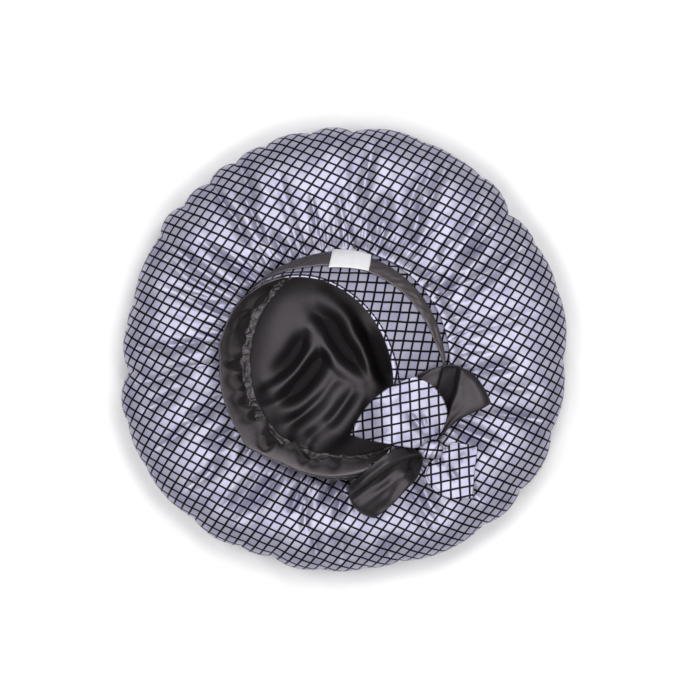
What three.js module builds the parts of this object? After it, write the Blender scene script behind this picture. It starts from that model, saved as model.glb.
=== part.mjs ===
// A lined sleep bonnet that lies on its crown with its mouth up: a gathered round crown with a black lining,
// a stand-up band that leans to one side, a tie ribbon round the band's root, and a flared bow.
// Millimetres, +Z up, with the origin in the middle of the flat stretch that the crown rests on.
import * as THREE from 'three';

// Cloth walls, and the gap between layers that are sewn together.
const satinWall = 1.5;
const liningWall = 1.2;
const ribbonWall = 1.0;
const layerGap = 0.4;

// The seam where the band meets the crown, an ellipse seen from above. The ledge is the flat seam allowance.
const seam = { x: 0, y: -11.3, halfX: 82.4, halfY: 87.1, z: 49, ledge: 3 };

// The crown's section: from the seam up to a crest, round the edge, and down to a flat base.
const crestHeight = 55;
const crestShare = 0.3; // the crest's place between the seam at 0 and the outline at 1
const edgeHeight = 27;
const baseShare = 0.7; // the flat base as a share of the outline's radius
const fullness = 0.8; // 1 rounds the edge as an ellipse, and less makes it squarer

// The band's free rim, an ellipse seen from above and turned by some degrees. It is higher towards -X and -Y.
const rim = { x: -30.6, y: -22, halfX: 69.2, halfY: 79, turned: 15 };
const bandRise = { mean: 30.5, towardX: -5, towardY: -6 };
const bandBelly = 2.5;

// Near the bow the band leans less, because the tie holds it: by how much at most, and where in degrees.
const bandHeld = { share: 0.3, at: 308, halfWidth: 25 };

// The facing's foot turns inward from the seam, wider on the -X side.
const footWidth = { mean: 6.5, towardX: -3.5 };

// The lining clears the crown's puckers by more than the sewn gap, and its floor has a middle of its own.
const liningSlack = 1.2;
const liningMiddle = { x: -10, y: -24 };
const liningFold = { height: 13, halfWidth: 8 };

// The crown's gathers, once round from +X towards +Y: the angle where each fold leaves the seam and where it
// notches the outline, the outline's radius at the notch and at the puff after it, and the fold's depth and
// its reach across the crown.
const gathers = [
  { seamAt: 12, edgeAt: 15.5, notch: 175.1, puff: 175.5, depth: 2.0, reach: 0.45 },
  { seamAt: 34, edgeAt: 28.5, notch: 172.5, puff: 173.2, depth: 4.5, reach: 0.9 },
  { seamAt: 45, edgeAt: 39, notch: 167.9, puff: 175.2, depth: 2.5, reach: 0.5 },
  { seamAt: 57, edgeAt: 51, notch: 173.9, puff: 175.3, depth: 3.5, reach: 0.7 },
  { seamAt: 64, edgeAt: 59, notch: 175.2, puff: 175.9, depth: 2.0, reach: 0.4 },
  { seamAt: 73, edgeAt: 69, notch: 174.8, puff: 176.6, depth: 4.0, reach: 0.5 },
  { seamAt: 87, edgeAt: 87.5, notch: 170.9, puff: 175.0, depth: 3.0, reach: 0.6 },
  { seamAt: 99, edgeAt: 98.5, notch: 171.1, puff: 174.4, depth: 2.0, reach: 0.4 },
  { seamAt: 113, edgeAt: 111, notch: 170.9, puff: 172.8, depth: 3.2, reach: 0.65 },
  { seamAt: 120, edgeAt: 120, notch: 168.8, puff: 172.2, depth: 2.2, reach: 0.5 },
  { seamAt: 127, edgeAt: 129, notch: 167.2, puff: 171.4, depth: 3.0, reach: 0.7 },
  { seamAt: 135, edgeAt: 138, notch: 168.1, puff: 173.6, depth: 2.6, reach: 0.6 },
  { seamAt: 149, edgeAt: 148, notch: 169.1, puff: 170.9, depth: 4.5, reach: 0.95 },
  { seamAt: 162, edgeAt: 168, notch: 168.8, puff: 171.2, depth: 2.4, reach: 0.5 },
  { seamAt: 171, edgeAt: 174, notch: 170.7, puff: 173.2, depth: 3.0, reach: 0.7 },
  { seamAt: 179, edgeAt: 186, notch: 169.2, puff: 178.7, depth: 4.0, reach: 0.9 },
  { seamAt: 199, edgeAt: 198.5, notch: 178.6, puff: 181.3, depth: 2.5, reach: 0.4 },
  { seamAt: 211, edgeAt: 211, notch: 180.5, puff: 181.9, depth: 3.2, reach: 0.6 },
  { seamAt: 222, edgeAt: 228.5, notch: 177.5, puff: 179.9, depth: 3.0, reach: 0.6 },
  { seamAt: 240, edgeAt: 242.5, notch: 174.8, puff: 175.8, depth: 4.0, reach: 0.7 },
  { seamAt: 253, edgeAt: 251, notch: 171.8, puff: 176.7, depth: 3.0, reach: 0.4 },
  { seamAt: 264, edgeAt: 264, notch: 173.9, puff: 175.4, depth: 2.2, reach: 0.45 },
  { seamAt: 273, edgeAt: 276, notch: 173.2, puff: 174.4, depth: 3.0, reach: 0.5 },
  { seamAt: 286, edgeAt: 285, notch: 172.6, puff: 178.7, depth: 2.6, reach: 0.5 },
  { seamAt: 307, edgeAt: 309, notch: 177.1, puff: 181.8, depth: 4.0, reach: 0.7 },
  { seamAt: 320, edgeAt: 321.5, notch: 178.0, puff: 182.1, depth: 2.5, reach: 0.5 },
  { seamAt: 336, edgeAt: 338.5, notch: 176.1, puff: 177.8, depth: 4.5, reach: 0.8 },
  { seamAt: 354, edgeAt: 357, notch: 173.4, puff: 177.0, depth: 2.6, reach: 0.55 },
];

// The ridges of the lining's soft folds, as the points that each ridge passes, seen from above.
const liningRidges = [
  [[-22, 17], [-28, -1], [-39, -22], [-57, -32], [-69, -42]],
  [[-16, 46], [-3, 35], [10, 2], [23, -18], [26, -30]],
  [[-22, 17], [-8, 2], [3, -13], [10, -20], [15, -35], [8, -50], [-9, -67], [-21, -79]],
  [[-8, 2], [-12, -14], [-23, -30], [-41, -44], [-57, -49]],
  [[3, -14], [-2, -30], [-14, -47], [-28, -63], [-37, -76]],
];

// The tie ribbon's edges, as shares of the band's width, at angles round the seam from knot to knot.
const ribbonEdges = [
  { at: -36, foot: 0.06, top: 0.12 },
  { at: 2, foot: 0.11, top: 0.17 },
  { at: 15, foot: 0.13, top: 0.28 },
  { at: 41, foot: 0.13, top: 0.37 },
  { at: 65, foot: 0.14, top: 0.5 },
  { at: 92, foot: 0.16, top: 0.75 },
  { at: 112, foot: 0.16, top: 0.8 },
  { at: 135, foot: 0.12, top: 0.5 },
  { at: 150, foot: 0.06, top: 0.36 },
  { at: 312, foot: 0.06, top: 0.36 },
];

// The label's corners: the angle round the seam and the share of the band's width.
const label = {
  outerLeft: { at: 93.5, up: 0.09 },
  outerRight: { at: 73, up: 0.08 },
  innerRight: { at: 63.5, up: 0.49 },
  innerLeft: { at: 80.5, up: 0.73 },
};

// The bow. Each ear flares from the knot in sections: its two edges seen from above, to the right and to the
// left of its run, and how far the section's middle bows outward.
const knot = { x: 68, y: -78.3, halfX: 8, halfY: 6.6, halfZ: 6.2 };
const neckHalf = 4.5;
const neckGap = { tail: 1.2, loop: 0.5 }; // from the knot to where an ear starts
const loopHalfHeight = 2.8;
const loopFirstTurn = 0.5; // radians round the flattened loop, where its upper layer leaves the knot

// How the ears drape: how far round each point they feel what is below, the passes that even out their heights,
// and how high the upper face of a tail lies above what it rests on.
const drape = { tailReach: 7, loopReach: 3, passes: 12, tailLift: 3.4 };
const upperLoop = [
  { right: [86, -59], left: [64, -56], bow: 3 },
  { right: [96, -52.5], left: [61, -43], bow: 8 },
  { right: [107, -47.5], left: [59, -31], bow: 13 },
  { right: [116, -42.6], left: [58.5, -20.5], bow: 18 },
];
const lowerLoop = [
  { right: [50, -76], left: [59, -99], bow: 1 },
  { right: [35.5, -80.5], left: [47.5, -112], bow: 1 },
  { right: [20, -92.5], left: [37.5, -122.5], bow: 2 },
  { right: [4.5, -106.5], left: [24.5, -132.5], bow: 7 },
];
const tailOverMouth = [
  { right: [78.5, -61], left: [57.5, -77], bow: 0 },
  { right: [81.3, -49.5], left: [44, -75.8], bow: 2 },
  { right: [77, -37], left: [30, -73], bow: 4 },
  { right: [68.5, -27.5], left: [16.5, -70.2], bow: 6 },
  { right: [56, -21.3], left: [5.5, -67.2], bow: 8.5 },
];
const tailOuter = [
  { right: [64, -97], left: [85.5, -73.4], bow: 0 },
  { right: [68.5, -108], left: [91.5, -73.6], bow: 1 },
  { right: [83, -116.8], left: [98.5, -74.8], bow: 1 },
  { right: [102, -117], left: [106, -75.8], bow: -1 },
];

// Facets: how many steps each piece takes round and across.
const gatherSteps = 3;
const liningSteps = 48;
const bandSteps = 48;
const ribbonSteps = 44;
const earSteps = { across: 6, along: 8, loop: 10 };
const differenceStep = 0.05;

const checkedSatin = { color: 0xcfcce4, roughness: 0.5, metalness: 0 };
const blackSatin = { color: 0x2b2a2e, roughness: 0.35, metalness: 0 };
const wovenWhite = { color: 0xf2f1ee, roughness: 0.8, metalness: 0 };

const { lerp, clamp, smoothstep, degToRad } = THREE.MathUtils;
const quarterTurn = Math.PI / 2;
const upward = new THREE.Vector3(0, 0, 1);

/** A point at an angle and a height on an ellipse seen from above, which may be turned by some degrees. */
function onEllipse(ellipse, angle, z) {
  const turned = degToRad(ellipse.turned ?? 0);
  const x = ellipse.halfX * Math.cos(angle - turned);
  const y = ellipse.halfY * Math.sin(angle - turned);
  const middle = new THREE.Vector3(ellipse.x, ellipse.y, 0);
  return new THREE.Vector3(x, y, z).applyAxisAngle(upward, turned).add(middle);
}

/** The level direction that points squarely out of the seam. */
function outOfSeam(angle) {
  return new THREE.Vector3(Math.cos(angle) / seam.halfX, Math.sin(angle) / seam.halfY, 0).normalize();
}

/** The direction square to surface(u, v), on the side where v turns into u. */
function squareTo(surface, u, v) {
  const alongU = surface(u + differenceStep, v).sub(surface(u - differenceStep, v));
  const alongV = surface(u, v + differenceStep).sub(surface(u, v - differenceStep));
  return alongV.cross(alongU).normalize();
}

/** A surface moved along its own normals by a distance. */
function shifted(surface, distance) {
  return (u, v) => surface(u, v).addScaledVector(squareTo(surface, u, v), distance);
}

/** A cloth body between two surfaces, over lists of u and v. When it goes round, its last u meets its first. */
function clothBody(name, look, { us, vs, face, back, round }) {
  const faceGrid = us.map((u) => vs.map((v) => face(u, v)));
  const backGrid = us.map((u) => vs.map((v) => back(u, v)));
  const positions = [];
  const triangle = (a, b, c) => {
    if (a.equals(b) || b.equals(c) || c.equals(a)) return;
    positions.push(...a.toArray(), ...b.toArray(), ...c.toArray());
  };
  const quad = (a, b, c, d) => {
    triangle(a, b, c);
    triangle(a, c, d);
  };
  const columns = round ? us.length : us.length - 1;
  const last = vs.length - 1;
  for (let i = 0; i < columns; i += 1) {
    const next = (i + 1) % us.length;
    for (let j = 0; j < last; j += 1) {
      quad(faceGrid[i][j], faceGrid[i][j + 1], faceGrid[next][j + 1], faceGrid[next][j]);
      quad(backGrid[i][j], backGrid[next][j], backGrid[next][j + 1], backGrid[i][j + 1]);
    }
    quad(faceGrid[i][0], faceGrid[next][0], backGrid[next][0], backGrid[i][0]);
    quad(faceGrid[i][last], backGrid[i][last], backGrid[next][last], faceGrid[next][last]);
  }
  if (!round) {
    const end = us.length - 1;
    for (let j = 0; j < last; j += 1) {
      quad(faceGrid[0][j], backGrid[0][j], backGrid[0][j + 1], faceGrid[0][j + 1]);
      quad(faceGrid[end][j], faceGrid[end][j + 1], backGrid[end][j + 1], backGrid[end][j]);
    }
  }
  const geometry = new THREE.BufferGeometry();
  geometry.setAttribute('position', new THREE.Float32BufferAttribute(positions, 3));
  geometry.computeVertexNormals();
  const mesh = new THREE.Mesh(geometry, new THREE.MeshStandardMaterial(look));
  mesh.name = name;
  return mesh;
}

/** Evenly spaced numbers from one value to another. */
function spaced(from, to, steps) {
  return Array.from({ length: steps + 1 }, (_, i) => lerp(from, to, i / steps));
}

/** The crown's gathers at a place counted in gathers: the two angles, the outline's radius and the pucker. */
function gatherAt(place) {
  const count = gathers.length;
  const wrapped = ((place % count) + count) % count;
  const index = Math.floor(wrapped);
  const t = wrapped - index;
  const here = gathers[index];
  const next = gathers[(index + 1) % count];
  const lap = index + 1 === count ? 360 : 0;
  const swell = Math.sin(Math.PI * t) ** 0.7;
  const evenRadius = lerp(here.notch, next.notch, t);
  return {
    seamAngle: degToRad(lerp(here.seamAt, next.seamAt + lap, t)),
    edgeAngle: degToRad(lerp(here.edgeAt, next.edgeAt + lap, t)),
    radius: evenRadius + (here.puff - (here.notch + next.notch) / 2) * swell,
    pucker: lerp(here.depth, next.depth, t) * swell,
    reach: lerp(here.reach, next.reach, t),
  };
}

/** The outline's radius without its puffs, at an angle round the crown. */
function notchRadius(angle) {
  const count = gathers.length;
  const degrees = THREE.MathUtils.radToDeg(angle);
  for (let i = 0; i < count; i += 1) {
    const here = gathers[i];
    const next = gathers[(i + 1) % count];
    const run = (next.edgeAt - here.edgeAt + 360) % 360;
    const past = (((degrees - here.edgeAt) % 360) + 360) % 360;
    if (past <= run) return lerp(here.notch, next.notch, past / run);
  }
  return gathers[0].notch;
}

/** The bag's section: v is 0 at the seam, 1 at the crest, 2 at the edge, 3 where the base starts, 4 in the middle. */
function bagPoint({ seamAngle, edgeAngle, radius }, v) {
  const seamPoint = onEllipse(seam, seamAngle, seam.z);
  const edgePoint = new THREE.Vector3(radius * Math.cos(edgeAngle), radius * Math.sin(edgeAngle), edgeHeight);
  if (v <= 1) {
    const ledgeShare = seam.ledge / seamPoint.distanceTo(edgePoint);
    const across = Math.max(v, 0) * crestShare;
    const climb = clamp((across - ledgeShare) / (crestShare - ledgeShare), 0, 1);
    return seamPoint.lerp(edgePoint, across).setZ(lerp(seam.z, crestHeight, Math.sin(climb * quarterTurn)));
  }
  if (v <= 2) {
    const turned = (v - 1) * quarterTurn;
    const z = lerp(edgeHeight, crestHeight, Math.cos(turned) ** fullness);
    return seamPoint.lerp(edgePoint, lerp(crestShare, 1, Math.sin(turned) ** fullness)).setZ(z);
  }
  if (v <= 3) {
    const turned = (v - 2) * quarterTurn;
    const z = edgeHeight * (1 - Math.sin(turned) ** fullness);
    return edgePoint.multiplyScalar(lerp(baseShare, 1, Math.cos(turned) ** fullness)).setZ(z);
  }
  return edgePoint.multiplyScalar(baseShare * Math.max(4 - v, 0)).setZ(0);
}

/** How far a gather's pucker stands up at v: nothing on the ledge, most near the seam, gone at its reach. */
function puckerShare(v, reach) {
  const across = v <= 1 ? v * crestShare : lerp(crestShare, 1, Math.sin((v - 1) * quarterTurn) ** fullness);
  return smoothstep(across, 0.04, 0.14) * (1 - smoothstep(across, 0.3 * reach, reach));
}

/** The crown's outside, with its puckers. */
function crownSurface(place, v) {
  const gather = gatherAt(place);
  const point = bagPoint(gather, v);
  if (v < 2) point.z += gather.pucker * puckerShare(v, gather.reach);
  return point;
}

const sectionStops = [0, 0.12, 0.35, 0.65, 1, 1.28, 1.5, 1.68, 1.84, 2, 2.2, 2.45, 2.7, 3];
const floorStops = [3, 3.25, 3.42, 3.54, 3.65, 3.76, 3.88, 4];

/** The checked crown: a bag open at the seam, with its base flat where it rests. */
function makeCrown() {
  const inside = shifted(crownSurface, -satinWall);
  const baseMiddle = new THREE.Vector3(0, 0, 0);
  const onBase = (place, v, z) => crownSurface(place, v).setZ(z);
  return clothBody('crown', checkedSatin, {
    us: spaced(0, gathers.length, gathers.length * gatherSteps).slice(0, -1),
    vs: [...sectionStops, 4],
    round: true,
    face: (place, v) => (v === 4 ? baseMiddle.clone() : crownSurface(place, v)),
    back: (place, v) => {
      if (v === 4) return baseMiddle.clone().setZ(satinWall);
      return v >= 3 ? onBase(place, v, satinWall) : inside(place, v);
    },
  });
}

/** How high the lining's floor rises into folds at a place. */
function liningRise(x, y) {
  let rise = 0;
  for (const ridge of liningRidges) {
    let nearest = Infinity;
    for (let i = 1; i < ridge.length; i += 1) {
      const [ax, ay] = ridge[i - 1];
      const [bx, by] = ridge[i];
      const run = (bx - ax) ** 2 + (by - ay) ** 2;
      const t = clamp(((x - ax) * (bx - ax) + (y - ay) * (by - ay)) / run, 0, 1);
      nearest = Math.min(nearest, Math.hypot(x - lerp(ax, bx, t), y - lerp(ay, by, t)));
    }
    rise = Math.max(rise, liningFold.height * Math.exp(-((nearest / liningFold.halfWidth) ** 2)));
  }
  return rise;
}

/** The black lining: it hangs from the facing's foot, follows the crown inside, and folds on its floor. */
function makeLining() {
  const evenColumn = (angle) => ({ seamAngle: angle, edgeAngle: angle, radius: notchRadius(angle) - 1 });
  const evenBag = (angle, v) => bagPoint(evenColumn(angle), v);
  const lipEnd = -1;
  const onFloor = (angle, v, z) => {
    const rimOfFloor = evenBag(angle, 3);
    const share = 4 - v;
    const x = lerp(liningMiddle.x, rimOfFloor.x, share);
    const y = lerp(liningMiddle.y, rimOfFloor.y, share);
    return new THREE.Vector3(x, y, z + liningRise(x, y) * (1 - smoothstep(share, 0.7, 1)));
  };
  const layer = (depth) => (angle, v) => {
    const sewnDepth = satinWall + layerGap + depth;
    if (v === lipEnd) {
      const foot = footWidth.mean + footWidth.towardX * Math.cos(angle);
      return onEllipse(seam, angle, seam.z - sewnDepth).addScaledVector(outOfSeam(angle), -foot);
    }
    if (v < 0.2) return evenBag(angle, v).setZ(seam.z - sewnDepth);
    if (v >= 3) return onFloor(angle, v, sewnDepth);
    return shifted(evenBag, -(sewnDepth + liningSlack))(angle, v);
  };
  return clothBody('crown_lining', blackSatin, {
    us: spaced(0, 2 * Math.PI, liningSteps).slice(0, -1),
    vs: [lipEnd, 0, 0.12, 0.65, 1, 1.5, 1.84, 2, 2.45, ...floorStops],
    round: true,
    face: layer(0),
    back: layer(liningWall),
  });
}

/** How many degrees an angle lies from a place round the seam, the short way. */
function degreesBetween(angle, at) {
  const apart = (THREE.MathUtils.radToDeg(angle) - at) % 360;
  return apart - 360 * Math.round(apart / 360);
}

/** The band's height above the seam at its rim. */
function riseAt(angle) {
  return bandRise.mean + bandRise.towardX * Math.cos(angle) + bandRise.towardY * Math.sin(angle);
}

/** The band's outer face. up runs 0 at the seam and 1 at the rim. */
function bandPoint(angle, up) {
  const out = outOfSeam(angle);
  const root = onEllipse(seam, angle, 0).addScaledVector(out, satinWall);
  const lean = onEllipse(rim, angle, riseAt(angle)).sub(root);
  const held = 1 - bandHeld.share * Math.exp(-((degreesBetween(angle, bandHeld.at) / bandHeld.halfWidth) ** 2));
  lean.multiply(new THREE.Vector3(held, held, 1));
  const inward = Math.max(0, -lean.dot(out));
  const rootHeight = seam.z + layerGap + (satinWall * inward) / Math.hypot(inward, lean.z);
  const belly = bandBelly * Math.sin(Math.PI * clamp(up, 0, 1));
  return root.addScaledVector(lean, up).addScaledVector(out, belly).setZ(rootHeight + up * lean.z);
}

const bandSurface = (angle, down) => bandPoint(angle, 1 - down);

/** The checked side of the band, which stands on the crown's seam. */
function makeBandOuter() {
  return clothBody('band_outer', checkedSatin, {
    us: spaced(0, 2 * Math.PI, bandSteps).slice(0, -1),
    vs: spaced(0, 1, 3),
    round: true,
    face: bandSurface,
    back: shifted(bandSurface, -satinWall),
  });
}

/** The black side of the band, with a foot that turns inward over the lining's lip. */
function makeBandFacing() {
  const hiddenDepth = satinWall + layerGap;
  const footAt = (angle) => footWidth.mean + footWidth.towardX * Math.cos(angle);
  const layer = (depth, cornerOut, cornerTop, footZ) => (angle, stop) => {
    if (stop <= 2) return shifted(bandSurface, -depth)(angle, stop / 3);
    const corner = onEllipse(seam, angle, 0);
    const out = outOfSeam(angle);
    if (stop === 3) return corner.addScaledVector(out, cornerOut).setZ(cornerTop);
    if (stop === 4) return corner.addScaledVector(out, cornerOut).setZ(footZ);
    return corner.addScaledVector(out, -footAt(angle)).setZ(footZ);
  };
  const footBelow = seam.z - satinWall;
  const footAbove = footBelow + liningWall;
  return clothBody('band_facing', blackSatin, {
    us: spaced(0, 2 * Math.PI, bandSteps).slice(0, -1),
    vs: [0, 1, 2, 3, 4, 5],
    round: true,
    face: layer(hiddenDepth, -layerGap, seam.z + layerGap, footBelow),
    back: layer(hiddenDepth + liningWall, -layerGap - liningWall, seam.z + 2.5, footAbove),
  });
}

/** The value of a table's column at an angle, eased between its rows. */
function tableAt(rows, column, at) {
  const next = rows.findIndex((row) => row.at >= at);
  if (next <= 0) return rows[next === 0 ? 0 : rows.length - 1][column];
  const from = rows[next - 1];
  const to = rows[next];
  return lerp(from[column], to[column], smoothstep(at, from.at, to.at));
}

/** The narrow black ribbon that lies on the band's root, from one side of the knot round to the other. */
function makeTieRibbon() {
  const ribbonSurface = (degrees, down) => {
    const top = tableAt(ribbonEdges, 'top', degrees);
    const foot = tableAt(ribbonEdges, 'foot', degrees);
    return bandSurface(degToRad(degrees), 1 - lerp(top, foot, down));
  };
  return clothBody('tie_ribbon', blackSatin, {
    us: spaced(ribbonEdges[0].at, ribbonEdges[ribbonEdges.length - 1].at, ribbonSteps),
    vs: [0, 0.5, 1],
    round: false,
    face: shifted(ribbonSurface, layerGap + ribbonWall),
    back: shifted(ribbonSurface, layerGap),
  });
}

/** The blank woven label, folded over the ribbon. */
function makeLabel() {
  const { outerLeft, outerRight, innerRight, innerLeft } = label;
  const between = (key, across, down) => {
    const inner = lerp(innerRight[key], innerLeft[key], across);
    return lerp(inner, lerp(outerRight[key], outerLeft[key], across), down);
  };
  const labelSurface = (across, down) =>
    bandSurface(degToRad(between('at', across, down)), 1 - between('up', across, down));
  const overRibbon = 2 * layerGap + ribbonWall;
  return clothBody('band_label', wovenWhite, {
    us: spaced(0, 1, 4),
    vs: spaced(0, 1, 3),
    round: false,
    face: shifted(labelSurface, overRibbon + ribbonWall),
    back: shifted(labelSurface, overRibbon),
  });
}

const skyHeight = 300;
const downward = upward.clone().negate();
const probe = new THREE.Raycaster();

/** The height of the topmost surface of some meshes, within a small distance of a place. */
function topOf(meshes, x, y, nearby) {
  let top = 0;
  for (let i = 0; i <= 8; i += 1) {
    const step = i === 0 ? 0 : nearby;
    const angle = (i * Math.PI) / 4;
    const above = new THREE.Vector3(x + step * Math.cos(angle), y + step * Math.sin(angle), skyHeight);
    probe.set(above, downward);
    const hits = probe.intersectObjects(meshes, false);
    if (hits.length > 0) top = Math.max(top, hits[0].point.z);
  }
  return top;
}

/** The crumpled knot that holds the bow, on the crown beside the seam. */
function makeKnot(below) {
  const geometry = new THREE.SphereGeometry(1, 10, 7);
  geometry.rotateX(quarterTurn);
  geometry.scale(knot.halfX, knot.halfY, knot.halfZ);
  const mesh = new THREE.Mesh(geometry, new THREE.MeshStandardMaterial(checkedSatin));
  mesh.name = 'bow_knot';
  mesh.position.set(knot.x, knot.y, topOf(below, knot.x, knot.y, knot.halfX / 4) + layerGap + knot.halfZ);
  mesh.updateMatrixWorld();
  return mesh;
}

/** An ear's sections from the knot outward, with a neck at the knot's side put before them. */
function withNeck(sections, clearance) {
  const knotPlace = new THREE.Vector2(knot.x, knot.y);
  const { right, left } = sections[0];
  const first = new THREE.Vector2((right[0] + left[0]) / 2, (right[1] + left[1]) / 2);
  const away = first.sub(knotPlace).normalize();
  const start = Math.hypot(away.x * knot.halfX, away.y * knot.halfY) + clearance;
  const neck = knotPlace.clone().addScaledVector(away, start);
  const side = new THREE.Vector2(away.y, -away.x).multiplyScalar(neckHalf);
  const neckRow = { right: neck.clone().add(side).toArray(), left: neck.clone().sub(side).toArray(), bow: 0 };
  return [neckRow, ...sections];
}

/** Where an ear lies seen from above: across runs 0 to 1 from its right edge to its left, along from its neck. */
function earPlan(sections) {
  const edge = (key) => {
    const points = sections.map((row) => new THREE.Vector3(...row[key], row.bow));
    return new THREE.CatmullRomCurve3(points);
  };
  const right = edge('right');
  const left = edge('left');
  return (across, along) => {
    const share = clamp(along, 0, 1);
    const a = right.getPoint(share);
    const b = left.getPoint(share);
    const outward = new THREE.Vector2(b.y - a.y, a.x - b.x).normalize();
    const bow = 4 * across * (1 - across) * a.z;
    return new THREE.Vector2(lerp(a.x, b.x, across), lerp(a.y, b.y, across)).addScaledVector(outward, bow);
  };
}

/** Heights over an ear's plan that lie on what is below and span its dips: each pass evens out neighbours. */
function drapedHeights(plan, below, { nearby, clearance, start }) {
  const { across, along } = earSteps;
  const floor = spaced(0, 1, across).map((s) =>
    spaced(0, 1, along).map((t) => {
      const place = plan(s, t);
      return topOf(below, place.x, place.y, nearby) + clearance;
    }),
  );
  let heights = floor.map((row) => row.map((z, j) => (j === 0 && start !== undefined ? start : z)));
  for (let pass = 0; pass < drape.passes; pass += 1) {
    heights = heights.map((row, i) =>
      row.map((z, j) => {
        if (j === 0 && start !== undefined) return start;
        const around = [heights[i - 1]?.[j], heights[i + 1]?.[j], row[j - 1], row[j + 1]];
        const near = around.filter((h) => h !== undefined);
        return Math.max(floor[i][j], near.reduce((sum, h) => sum + h, 0) / near.length);
      }),
    );
  }
  return (s, t) => {
    const x = clamp(s, 0, 1) * across;
    const y = clamp(t, 0, 1) * along;
    const i = Math.min(Math.floor(x), across - 1);
    const j = Math.min(Math.floor(y), along - 1);
    const front = lerp(heights[i][j], heights[i + 1][j], x - i);
    const rear = lerp(heights[i][j + 1], heights[i + 1][j + 1], x - i);
    return lerp(front, rear, y - j);
  };
}

/** A flat flared tail, laid on what is below it. */
function makeTail(name, look, sections, below, start) {
  const plan = earPlan(withNeck(sections, neckGap.tail));
  const height = drapedHeights(plan, below, { nearby: drape.tailReach, clearance: drape.tailLift, start });
  const surface = (across, along) => {
    const place = plan(across, along);
    return new THREE.Vector3(place.x, place.y, height(across, along));
  };
  return clothBody(name, look, {
    us: spaced(0, 1, earSteps.across),
    vs: spaced(0, 1, earSteps.along),
    round: false,
    face: surface,
    back: shifted(surface, -ribbonWall),
  });
}

/** A flattened loop: out from the knot on top, round its far end, and back underneath. */
function makeLoop(name, look, sections, below, start) {
  const plan = earPlan(withNeck(sections, neckGap.loop));
  const clearance = layerGap + ribbonWall + loopHalfHeight;
  const height = drapedHeights(plan, below, { nearby: drape.loopReach, clearance, start });
  const neckShare = Math.sin(loopFirstTurn / 2);
  const surface = (across, turn) => {
    const along = (Math.sin(turn / 2) - neckShare) / (1 - neckShare);
    const place = plan(across, along);
    return new THREE.Vector3(place.x, place.y, height(across, along) + loopHalfHeight * Math.sin(turn));
  };
  return clothBody(name, look, {
    us: spaced(0, 1, earSteps.across),
    vs: spaced(loopFirstTurn, 2 * Math.PI - loopFirstTurn, earSteps.loop),
    round: false,
    face: surface,
    back: shifted(surface, -ribbonWall),
  });
}

const crown = makeCrown();
const bandOuter = makeBandOuter();
const tieRibbon = makeTieRibbon();
const bowKnot = makeKnot([crown]);
const rest = [crown, bandOuter, tieRibbon];
const knotHeight = bowKnot.position.z;
const loopUpper = makeLoop('bow_loop_upper', blackSatin, upperLoop, rest, knotHeight);
const loopLower = makeLoop('bow_loop_lower', blackSatin, lowerLoop, rest, knotHeight);
const tailOuterMesh = makeTail('bow_tail_outer', checkedSatin, tailOuter, rest, knotHeight);
const coveredByTail = [...rest, bowKnot, loopUpper, loopLower, tailOuterMesh];
const tailOverMouthMesh = makeTail('bow_tail_over_mouth', checkedSatin, tailOverMouth, coveredByTail);

const bonnet = new THREE.Group();
bonnet.add(
  crown,
  makeLining(),
  bandOuter,
  makeBandFacing(),
  tieRibbon,
  makeLabel(),
  bowKnot,
  loopUpper,
  loopLower,
  tailOuterMesh,
  tailOverMouthMesh,
);

export default bonnet;
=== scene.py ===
import math
from collections import namedtuple

import bmesh
import bpy
import numpy as np
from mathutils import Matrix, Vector, noise
from mathutils.bvhtree import BVHTree


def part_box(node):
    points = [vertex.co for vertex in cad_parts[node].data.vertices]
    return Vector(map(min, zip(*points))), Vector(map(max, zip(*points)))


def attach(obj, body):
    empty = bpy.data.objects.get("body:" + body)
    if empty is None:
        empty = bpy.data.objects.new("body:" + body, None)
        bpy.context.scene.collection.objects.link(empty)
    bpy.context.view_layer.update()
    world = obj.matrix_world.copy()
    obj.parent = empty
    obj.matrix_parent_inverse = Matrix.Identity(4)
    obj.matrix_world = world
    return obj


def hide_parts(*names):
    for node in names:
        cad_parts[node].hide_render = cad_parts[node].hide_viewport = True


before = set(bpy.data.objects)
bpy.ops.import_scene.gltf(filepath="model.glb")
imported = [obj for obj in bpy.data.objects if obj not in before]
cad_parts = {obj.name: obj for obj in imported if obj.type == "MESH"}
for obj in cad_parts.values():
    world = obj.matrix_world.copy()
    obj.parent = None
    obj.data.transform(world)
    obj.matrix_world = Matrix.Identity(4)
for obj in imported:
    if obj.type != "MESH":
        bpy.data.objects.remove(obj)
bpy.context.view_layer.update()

mm = 0.001

# The studio: a plain white floor under four soft lamps that hang round the camera's line of sight, the strongest on
# the label's side, and an even pale surround. The camera is far off and looks straight down, with the label's side up.
picture_middle = (5.5 * mm, -0.8 * mm)
picture_width = 552 * mm
camera_height = 4.0
outline_height = 27 * mm  # the height at which the bonnet's outline is widest


def linear(code):
    """An sRGB colour such as "cfcce4" as linear red, green, blue and alpha."""
    parts = [int(code[i : i + 2], 16) / 255 for i in (0, 2, 4)]
    return [p / 12.92 if p <= 0.04045 else ((p + 0.055) / 1.055) ** 2.4 for p in parts] + [1.0]


def add_node(material, kind, inputs=None, **settings):
    """A node with its settings. Each of its inputs is given a value, or another node's output to link."""
    added = material.node_tree.nodes.new(kind)
    for name, value in settings.items():
        setattr(added, name, value)
    for name, value in (inputs or {}).items():
        if isinstance(value, bpy.types.NodeSocket):
            material.node_tree.links.new(value, added.inputs[name])
        else:
            added.inputs[name].default_value = value
    return added


def new_material(name):
    """An empty node material."""
    material = bpy.data.materials.new(name)
    material.use_nodes = True
    material.node_tree.nodes.clear()
    return material


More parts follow.
